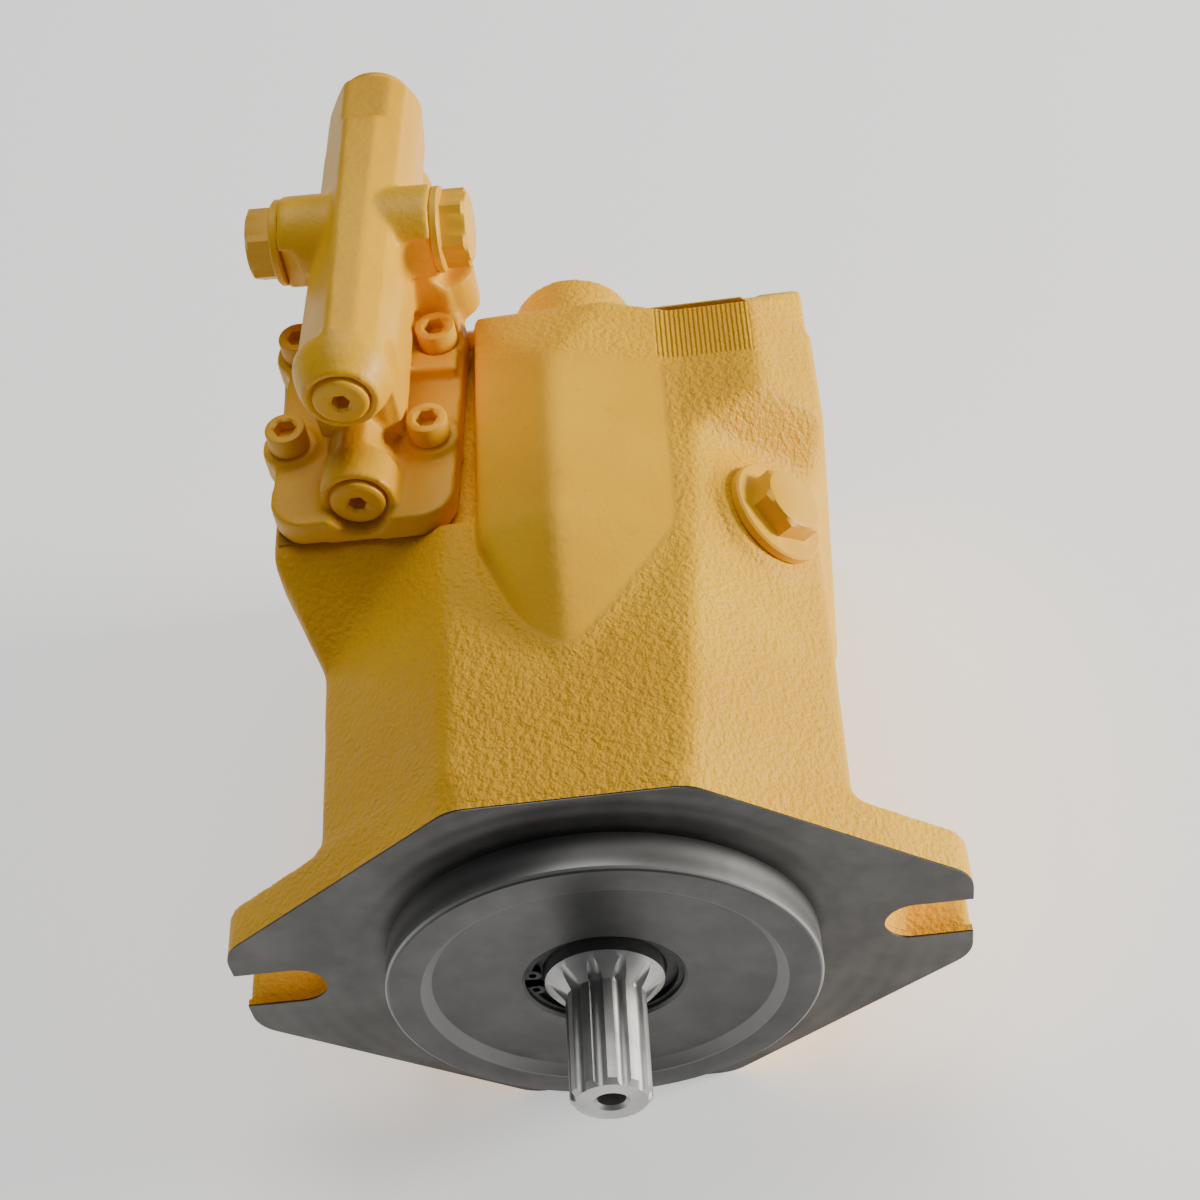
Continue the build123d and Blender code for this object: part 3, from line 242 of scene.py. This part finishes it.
def turned_steel(name, color, light, pitch=0.5 * MM, roughness=0.3):
    """Turned steel that varies between two shades."""
    paint = Paint(name)
    marks = turning_marks(paint, pitch)
    stain = paint.noise(12 * MM, 4.0).smooth(0.3, 0.72)
    shade = paint.blend(stain, color, light)
    gloss = paint.noise(4 * MM, 4.0) * 0.2 + roughness
    relief = paint.bump(marks * 0.5 + paint.noise(0.7 * MM) * 0.3, 0.03 * MM, 0.6)
    return paint.surface(base_color=shade, roughness=gloss, metallic=0.9, normal=relief)


def pilot_steel():
    """Turned steel: a dull face painted darker as painted shade, a coarser outside painted lighter as painted
    light, and a bevel ring painted lighter as a painted highlight.
    """
    paint = Paint("pilot_steel")
    x, y, z = paint.split()
    distance = x * x + z * z
    outside = distance.smooth((50.2 * MM) ** 2, (50.6 * MM) ** 2)
    marks = turning_marks(paint, 0.6 * MM)
    stain = paint.noise(12 * MM, 4.0).smooth(0.3, 0.72)
    # Darker steel for the face: painted shade.
    face = paint.blend(stain, (0.066, 0.065, 0.064, 1), (0.092, 0.091, 0.089, 1))
    rings = paint.add("ShaderNodeTexWave", {"wave_type": "BANDS", "bands_direction": "Y"},
                      {"Vector": paint.place, "Scale": 1 / (20 * MM), "Distortion": 0.6, "Detail": 2.0})
    # Lighter steel for the outside wall: painted light on a side the lamps leave dark.
    wall_painted_light = paint.blend(rings, (0.20, 0.197, 0.193, 1), (0.32, 0.316, 0.31, 1))
    # Lighter ring on the bevel: a painted highlight.
    bevel_painted_highlight = distance.smooth((39.9 * MM) ** 2, (40.3 * MM) ** 2)
    bevel_painted_highlight = bevel_painted_highlight * (1 - distance.smooth((42.4 * MM) ** 2, (42.8 * MM) ** 2))
    shade = paint.blend(bevel_painted_highlight, paint.blend(outside, face, wall_painted_light), (0.19, 0.187, 0.182, 1))
    gloss = paint.noise(4 * MM, 4.0) * 0.2 + 0.28
    relief = paint.bump(marks * 0.5 + paint.noise(0.7 * MM) * 0.3, 0.03 * MM, 0.6)
    return paint.surface(base_color=shade, roughness=gloss, metallic=0.55, normal=relief)


def ground_metal(name, color, light, roughness=0.22, grain=(1, 14, 1)):
    """Ground or honed metal with fine scratches along its grain."""
    paint = Paint(name)
    scratch = paint.noise(0.35 * MM, 2.0, vector=paint.stretched(tuple(1 / g for g in grain)))
    cloud = paint.noise(8 * MM, 3.0).smooth(0.3, 0.7)
    shade = paint.blend(cloud, color, light)
    gloss = scratch * 0.14 + roughness
    relief = paint.bump(scratch, 0.015 * MM, 0.5)
    return paint.surface(base_color=shade, roughness=gloss, metallic=0.95, normal=relief)


def rubber():
    """Black seal rubber."""
    paint = Paint("seal_rubber")
    grain = paint.noise(0.5 * MM, 2.0)
    shade = paint.blend(grain.smooth(0.3, 0.7), (0.018, 0.018, 0.019, 1), (0.04, 0.04, 0.041, 1))
    relief = paint.bump(grain, 0.05 * MM, 0.5)
    return paint.surface(base_color=shade, roughness=paint.noise(3 * MM) * 0.2 + 0.45, normal=relief)


def fibre_sheet():
    """Gasket sheet, yellowed by the enamel along its edges."""
    paint = Paint("gasket_fibre")
    threads = paint.noise(0.8 * MM, 4.0, 0.7)
    shade = paint.blend(threads.smooth(0.3, 0.7), (0.42, 0.22, 0.02, 1), (0.60, 0.32, 0.03, 1))
    relief = paint.bump(threads, 0.05 * MM, 0.7)
    return paint.surface(base_color=shade, roughness=threads * 0.2 + 0.7, normal=relief)


MATERIALS = {
    "painted_casting": housing_enamel(),
    "painted_valve_body": cast_enamel("valve_enamel", 1.5 * MM, 0.22 * MM),
    "painted_fittings": cast_enamel("fitting_enamel", 1.0 * MM, 0.06 * MM),
    "gasket_fibre": fibre_sheet(),
    "seal_rubber": rubber(),
    "black_spring_steel": ground_metal("black_spring_steel", (0.02, 0.02, 0.02, 1), (0.05, 0.05, 0.05, 1), 0.4),
    "machined_steel": turned_steel("machined_steel", (0.42, 0.416, 0.41, 1), (0.58, 0.575, 0.565, 1),
                                   roughness=0.36),
    "pilot_steel": pilot_steel(),
    "bearing_steel": ground_metal("bearing_steel", (0.42, 0.42, 0.43, 1), (0.55, 0.55, 0.56, 1), 0.14),
    "hardened_steel": turned_steel("hardened_steel", (0.17, 0.17, 0.175, 1), (0.26, 0.26, 0.265, 1),
                                   0.7 * MM, 0.25),
    "bearing_bronze": ground_metal("bearing_bronze", (0.42, 0.24, 0.08, 1), (0.55, 0.34, 0.13, 1), 0.2),
    "spring_steel": ground_metal("spring_steel", (0.10, 0.10, 0.11, 1), (0.18, 0.18, 0.19, 1), 0.3),
    "ground_steel": ground_metal("ground_steel", (0.38, 0.38, 0.39, 1), (0.52, 0.52, 0.53, 1), 0.15,
                                 grain=(14, 1, 14)),
}


def finish(piece, slot, body="casing", paint=None):
    """Give a piece its body, and the slot's material or a named other one."""
    piece.data.materials.clear()
    piece.data.materials.append(MATERIALS[paint or slot])
    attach(piece, body)
    return piece


# ---- Mesh helpers -----------------------------------------------------------


def new_piece(name, mesh):
    """An object at the origin that holds a mesh."""
    piece = bpy.data.objects.new(name, mesh)
    bpy.context.scene.collection.objects.link(piece)
    return piece


def sharpen(mesh, angle=32):
    """Smooth shading with sharp edges above an angle in degrees."""
    mesh.shade_smooth()
    mesh.set_sharp_from_angle(angle=radians(angle))


def merged_copy(node, name):
    """A copy of a CAD node with its loose triangles joined."""
    mesh = nodes[node].data.copy()
    if "custom_normal" in mesh.attributes:
        mesh.attributes.remove(mesh.attributes["custom_normal"])
    bm = bmesh.new()
    bm.from_mesh(mesh)
    bmesh.ops.remove_doubles(bm, verts=bm.verts, dist=0.001 * MM)
    bm.to_mesh(mesh)
    bm.free()
    return new_piece(name, mesh)


def machined_copy(node, slot, body="casing", angle=28):
    """A copy of a CAD node with smooth round faces and sharp edges, in its place."""
    piece = merged_copy(node, node + "_finished")
    sharpen(piece.data, angle)
    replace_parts(piece, node)
    return finish(piece, slot, body)


def remeshed(piece, voxel):
    """Replace a piece's mesh by an even one, as a casting's skin."""
    modifier = piece.modifiers.new("skin", "REMESH")
    modifier.mode = "VOXEL"
    modifier.voxel_size = voxel
    modifier.use_smooth_shade = True
    settled = bpy.data.meshes.new_from_object(piece.evaluated_get(bpy.context.evaluated_depsgraph_get()))
    piece.modifiers.clear()
    piece.data = settled
    return piece


def soften(piece, zones):
    """Round a casting's edges; each zone is a test of a place and its number of rounds."""
    bm = bmesh.new()
    bm.from_mesh(piece.data)
    for inside, rounds in zones:
        chosen = [v for v in bm.verts if inside(v.co)]
        for _ in range(rounds):
            bmesh.ops.smooth_vert(bm, verts=chosen, factor=0.5,
                                  use_axis_x=True, use_axis_y=True, use_axis_z=True)
    bm.to_mesh(piece.data)
    bm.free()
    piece.data.shade_smooth()


def cut_off(piece, point, normal):
    """Remove what lies on the normal's side of a plane, and close the cut."""
    bm = bmesh.new()
    bm.from_mesh(piece.data)
    geometry = bm.verts[:] + bm.edges[:] + bm.faces[:]
    cut = bmesh.ops.bisect_plane(bm, geom=geometry, dist=1e-7, plane_co=point, plane_no=normal,
                                 clear_outer=True)
    rim = [g for g in cut["geom_cut"] if isinstance(g, bmesh.types.BMEdge)]
    bmesh.ops.triangle_fill(bm, use_beauty=True, edges=rim, normal=normal)
    bmesh.ops.recalc_face_normals(bm, faces=bm.faces)
    bm.to_mesh(piece.data)
    bm.free()


def placed(place, axis):
    """Turn a piece built along +Z to an axis, and move it to a place."""
    turn = Vector((0, 0, 1)).rotation_difference(Vector(axis)).to_matrix().to_4x4()
    return Matrix.Translation(Vector(place)) @ turn


ROUND = 0
HEX = 1


def turned_piece(name, rows, place, axis, slot, paint=None, steps=48, spin_start=0.0):
    """Spin rows of (radius, height, ROUND or HEX) about an axis; HEX rows get six flats."""
    bm = bmesh.new()
    row_of = bm.verts.layers.int.new("row")
    profile = []
    for i, (radius, height, _) in enumerate(rows):
        vert = bm.verts.new((radius, 0, height))
        vert[row_of] = i
        profile.append(vert)
    edges = [bm.edges.new(pair) for pair in zip(profile, profile[1:])]
    bmesh.ops.spin(bm, geom=profile + edges, cent=(0, 0, 0), axis=(0, 0, 1), angle=2 * pi, steps=steps,
                   use_merge=True)
    for vert in bm.verts:
        if rows[vert[row_of]][2] == HEX:
            angle = atan2(vert.co.y, vert.co.x) % (pi / 3) - pi / 6
            vert.co.xy = vert.co.xy / cos(angle)
    bmesh.ops.remove_doubles(bm, verts=bm.verts, dist=0.002 * MM)
    bmesh.ops.recalc_face_normals(bm, faces=bm.faces)
    bmesh.ops.rotate(bm, verts=bm.verts, cent=(0, 0, 0), matrix=Matrix.Rotation(spin_start, 3, "Z"))
    mesh = bpy.data.meshes.new(name)
    bm.to_mesh(mesh)
    bm.free()
    mesh.transform(placed(place, axis))
    sharpen(mesh, 30)
    return finish(new_piece(name, mesh), slot, paint=paint)


def mm_rows(rows):
    """Rows given in mm; a row without a shape is ROUND."""
    return [(radius * MM, height * MM, *(shape or [ROUND])) for radius, height, *shape in rows]


# ---- Castings ---------------------------------------------------------------

FACE_SKIN = 2.0 * MM
FLANGE_THICKNESS = 13.5 * MM
HOUSING_VOXEL = 1.4 * MM
VALVE_VOXEL = 0.75 * MM
COVER_VOXEL = 1.1 * MM
REAR_EDGE_Y = 144.5 * MM
BARRELS_Z = 80 * MM
PORT_SIDE_Y = 174 * MM

# The turned pilot: radii and heights above the mounting face, in mm
PILOT_R = 50.8
PILOT_HEIGHT = 9.5
RECESS_R = 42.3
RECESS_FLOOR_R = 40.2
RECESS_HEIGHT = 7.0
SEAL_BORE_R = 18.5
RING_GROOVE_R = 19.6
RING_GROOVE_LOW = 4.2
RING_GROOVE_HIGH = 5.9
BELOW_FACE = -0.6


def cast_housing():
    """The casting behind the mounting face, with rounded edges."""
    piece = merged_copy("housing", "cast_housing")
    remeshed(piece, HOUSING_VOXEL)
    soften(piece, [
        (lambda p: FLANGE_THICKNESS < p.y < REAR_EDGE_Y, 7),
        (lambda p: REAR_EDGE_Y < p.y or FACE_SKIN + MM < p.y < FLANGE_THICKNESS, 2),
    ])
    cut_off(piece, (0, FACE_SKIN, 0), (0, -1, 0))
    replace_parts(piece, "housing")
    return finish(piece, "painted_casting")


def mounting_face():
    """The machined front of the flange, with its edges as they are in the frame."""
    piece = merged_copy("housing", "mounting_face")
    cut_off(piece, (0, FACE_SKIN + 0.02 * MM, 0), (0, 1, 0))
    cut_off(piece, (0, 0, 0), (0, -1, 0))
    piece.data.shade_flat()
    return finish(piece, "painted_casting")


def pilot_face():
    """Turned pilot with its bevelled recess and seal bore."""
    rows = mm_rows([
        (PILOT_R, BELOW_FACE), (PILOT_R, PILOT_HEIGHT - 0.9), (PILOT_R - 0.3, PILOT_HEIGHT - 0.4),
        (PILOT_R - 0.9, PILOT_HEIGHT), (RECESS_R + 0.3, PILOT_HEIGHT), (RECESS_R, PILOT_HEIGHT - 0.15),
        (RECESS_FLOOR_R, RECESS_HEIGHT + 0.15), (RECESS_FLOOR_R - 0.4, RECESS_HEIGHT),
        (SEAL_BORE_R + 0.8, RECESS_HEIGHT), (SEAL_BORE_R + 0.1, RECESS_HEIGHT - 0.6),
        (SEAL_BORE_R, RING_GROOVE_HIGH + 0.05), (RING_GROOVE_R, RING_GROOVE_HIGH),
        (RING_GROOVE_R, RING_GROOVE_LOW), (SEAL_BORE_R, RING_GROOVE_LOW - 0.05), (SEAL_BORE_R, BELOW_FACE),
        (PILOT_R, BELOW_FACE),
    ])
    return turned_piece("pilot_face", rows, (0, 0, 0), (0, -1, 0), "painted_casting", "pilot_steel", steps=128)


def valve_casting():
    """The regulator body: well rounded low down, crisper along its two barrels."""
    piece = merged_copy("regulator_body", "valve_casting")
    remeshed(piece, VALVE_VOXEL)
    soften(piece, [(lambda p: p.z < BARRELS_Z, 5), (lambda p: p.z >= BARRELS_Z, 2)])
    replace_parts(piece, "regulator_body")
    return finish(piece, "painted_valve_body")


def rear_cover_casting():
    """The end cover, rounded except at its machined port face."""
    piece = merged_copy("end_cover", "rear_cover_casting")
    remeshed(piece, COVER_VOXEL)
    soften(piece, [(lambda p: p.y < PORT_SIDE_Y, 4)])
    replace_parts(piece, "end_cover")
    return finish(piece, "painted_casting")


# ---- Fittings ---------------------------------------------------------------

REGULATOR_TURN = radians(-3.5)
DRAIN_AXIS = Vector((0.73, 0, 0.68))


def tip_of(node, axis):
    """The middle of a round piece's outer end: its axis runs along a direction."""
    ahead = Vector(axis).normalized()
    side = ahead.orthogonal().normalized()
    up = ahead.cross(side)
    spots = [vert.co for vert in nodes[node].data.vertices]
    middle = Vector()
    for way in (side, up):
        spread = [spot.dot(way) for spot in spots]
        middle += way * (min(spread) + max(spread)) / 2
    return middle + ahead * max(spot.dot(ahead) for spot in spots)


def socket_screw(name, place, axis, head_r, head_height, socket, shank_r, shank_length):
    """Socket head screw; its seat is at the place, and socket is half the key size."""
    rows = mm_rows([
        (0, -shank_length), (shank_r, -shank_length), (shank_r, 0), (head_r - 0.2, 0),
        (head_r, 0.2), (head_r, head_height - 0.5), (head_r - 0.15, head_height - 0.15),
        (head_r - 0.5, head_height), (socket + 0.75, head_height), (socket, head_height - 0.4, HEX),
        (socket, head_height * 0.45, HEX), (0, head_height * 0.35),
    ])
    return turned_piece(name, rows, place, axis, "painted_fittings")


def islands(node):
    """The separate solids of a node, each as (lowest corner, highest corner)."""
    piece = merged_copy(node, node + "_parts")
    bm = bmesh.new()
    bm.from_mesh(piece.data)
    left = set(bm.verts)
    found = []
    while left:
        stack = [left.pop()]
        members = []
        while stack:
            vert = stack.pop()
            members.append(vert.co.copy())
            for edge in vert.link_edges:
                other = edge.other_vert(vert)
                if other in left:
                    left.remove(other)
                    stack.append(other)
        low = Vector([min(p[i] for p in members) for i in range(3)])
        high = Vector([max(p[i] for p in members) for i in range(3)])
        found.append((low, high))
    bm.free()
    bpy.data.objects.remove(piece)
    return sorted(found, key=lambda pair: tuple(pair[0]))


def screw_set(node, axis, head_r, head_height, socket, shank_r, shank_length):
    """One screw for each solid of a node, with its head at the solid's far end along the axis."""
    axis = Vector(axis)
    for i, (low, high) in enumerate(islands(node), 1):
        middle = (low + high) / 2
        seat = middle + axis * ((high - middle).dot(axis) - head_height * MM)
        name = node[:-1] + "_" + str(i)
        screw = socket_screw(name, seat, axis, head_r, head_height, socket, shank_r, shank_length)
        if i == 1:
            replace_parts(screw, node)


ALONG_BARREL = Vector((-sin(REGULATOR_TURN), cos(REGULATOR_TURN), 0))
ACROSS_BARREL = Vector((cos(REGULATOR_TURN), sin(REGULATOR_TURN), 0))


def front_plug(node):
    """Round plug with a rounded rim and a small hexagon socket."""
    rows = mm_rows([
        (0, -11.5), (5.8, -11.5), (5.8, -2.6), (6.5, -2.6), (6.7, -2.3),
        (6.7, -1.0), (6.5, -0.45), (6.0, -0.1), (5.4, 0), (2.9, 0),
        (2.0, -0.5, HEX), (2.0, -4.6, HEX), (0, -5.2),
    ])
    axis = -ALONG_BARREL
    plug = turned_piece(node + "_finished", rows, tip_of(node, axis), axis, "painted_fittings")
    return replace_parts(plug, node)


def rear_cap(node):
    """Round cap at the back of a valve bore."""
    rows = mm_rows([
        (0, -13.5), (7.9, -13.5), (7.9, -3.4), (9.5, -3.4), (9.6, -3.1),
        (9.6, -1.1), (9.1, -0.4), (8.3, 0), (3.9, 0), (3.0, -0.5, HEX),
        (3.0, -5.1, HEX), (0, -5.7),
    ])
    cap = turned_piece(node + "_finished", rows, tip_of(node, ALONG_BARREL), ALONG_BARREL, "painted_fittings")
    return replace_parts(cap, node)


def hex_plug(node, axis, collar_r, collar_h, half_flats, head_h, thread_r, thread_h, turn):
    """Hexagon plug with a collar; heights are measured down from its head."""
    seat = -(collar_h + head_h)
    rows = mm_rows([
        (0, seat - thread_h), (thread_r, seat - thread_h), (thread_r, seat),
        (collar_r - 0.3, seat), (collar_r, seat + 0.35), (collar_r, -head_h - 0.5),
        (collar_r - 0.5, -head_h), (half_flats * 1.17, -head_h), (half_flats, 0.15 - head_h, HEX),
        (half_flats, -1.0, HEX), (half_flats * 0.995, -0.25), (half_flats * 0.93, 0), (0, 0),
    ])
    name = node + "_finished"
    plug = turned_piece(name, rows, tip_of(node, axis), axis, "painted_fittings", steps=72, spin_start=turn)
    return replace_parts(plug, node)


def hex_plugs():
    """The two plugs on the regulator's sides and the case drain plug."""
    side = {"collar_r": 10.7, "collar_h": 2.2, "half_flats": 8.5, "head_h": 6.5,
            "thread_r": 5.8, "thread_h": 7.2}
    hex_plug("side_plug_left", -ACROSS_BARREL, turn=0.2, **side)
    hex_plug("side_plug_right", ACROSS_BARREL, turn=0.2, **side)
    hex_plug("drain_plug", DRAIN_AXIS, collar_r=13.6, collar_h=2.6, half_flats=8.15, head_h=5.6, thread_r=9.4,
             thread_h=12.0, turn=0.35)


# ---- Build ------------------------------------------------------------------


def carry_over():
    """Give every other CAD node its material, and its finished copy where it shows."""
    smooth = {"drive_shaft", "shaft_seal", "seal_retaining_ring", "stroke_screw"}
    body_of = {n: body for body, members in frame["record"]["behaviour"]["bodies"].items() for n in members}
    for row in frame["record"]["subparts"]:
        node = row["node"]
        if node in smooth:
            machined_copy(node, row["material_slot"], body_of[node])
        elif not nodes[node].hide_render:
            nodes[node].data.materials.clear()
            nodes[node].data.materials.append(MATERIALS[row["material_slot"]])


CAMERA_PLACE = (0.0408, -0.2674, 0.4458)
CAMERA_AZIMUTH = radians(5.56)
CAMERA_ELEVATION = radians(49.79)
CAMERA_ROLL = radians(-10.8)
CAMERA_LENS = 66.0
SENSOR_WIDTH = 36.0
FLOOR_SIZE = 6.0
FLOOR_GAP = 0.2 * MM


def camera():
    """A slightly rolled view down onto the shaft end, with the regulator up."""
    azimuth, elevation, roll = CAMERA_AZIMUTH, CAMERA_ELEVATION, CAMERA_ROLL
    ahead = Vector((-sin(azimuth) * cos(elevation), cos(azimuth) * cos(elevation), -sin(elevation)))
    right = ahead.cross(Vector((0, 0, 1))).normalized()
    up = right.cross(ahead)
    tilted_right = right * cos(roll) + up * sin(roll)
    tilted_up = up * cos(roll) - right * sin(roll)
    data = bpy.data.cameras.new("studio_camera")
    data.lens = CAMERA_LENS
    data.sensor_width = SENSOR_WIDTH
    data.clip_start = 0.01
    data.clip_end = 50.0
    eye = new_piece("studio_camera", data)
    turn = Matrix((tilted_right, tilted_up, -ahead)).transposed().to_4x4()
    eye.matrix_world = Matrix.Translation(CAMERA_PLACE) @ turn
    bpy.context.scene.camera = eye


def floor():
    """Plain pale floor just under the casing."""
    bm = bmesh.new()
    bmesh.ops.create_grid(bm, x_segments=1, y_segments=1, size=FLOOR_SIZE)
    mesh = bpy.data.meshes.new("studio_floor")
    bm.to_mesh(mesh)
    bm.free()
    mesh.transform(Matrix.Translation((0, 0, cad_box[0][2] - FLOOR_GAP)))
    piece = new_piece("studio_floor", mesh)
    paint = Paint("studio_floor")
    cloud = paint.noise(0.4, 2.0)
    paint.surface(base_color=paint.blend(cloud, (0.86, 0.86, 0.855, 1), (0.9, 0.9, 0.895, 1)), roughness=0.6,
                  specular_ior_level=0.1, emission_color=(1, 1, 1, 1), emission_strength=0.6)
    mesh.materials.append(paint.material)


def lamp(name, place, target, size, power, color=(1, 1, 1)):
    """Round soft light of a size in metres and a power in watts."""
    data = bpy.data.lights.new(name, "AREA")
    data.shape = "DISK"
    data.size = size
    data.energy = power
    data.color = color
    light = new_piece(name, data)
    ahead = (Vector(target) - Vector(place)).normalized()
    light.matrix_world = Matrix.Translation(place) @ ahead.to_track_quat("-Z", "Y").to_matrix().to_4x4()


def studio():
    """A low warm key light from the right, a soft light from above, and a dim sky."""
    lamp("key_light", (1.35, 0.12, 0.28), (0, 0.07, 0.02), size=0.35, power=29.0, color=(1.0, 0.97, 0.90))
    lamp("top_light", (0.0, 0.75, 1.5), (0, 0.08, 0), size=1.2, power=14.0)
    world = bpy.data.worlds.new("studio_world")
    bpy.context.scene.world = world
    world.use_nodes = True
    sky = world.node_tree.nodes["Background"]
    sky.inputs["Color"].default_value = (0.95, 0.97, 1.0, 1)
    sky.inputs["Strength"].default_value = 0.11


cast_housing()
mounting_face()
pilot_face()
valve_casting()
rear_cover_casting()
screw_set("regulator_screws", (0, 0, 1), head_r=5.0, head_height=6.0, socket=2.5,
          shank_r=3.0, shank_length=18.0)
screw_set("cover_screws", (0, 1, 0), head_r=6.5, head_height=8.0, socket=3.0,
          shank_r=4.0, shank_length=17.0)
front_plug("front_plug_upper")
front_plug("front_plug_lower")
rear_cap("pressure_cap")
rear_cap("flow_cap")
hex_plugs()
carry_over()
floor()
studio()
camera()
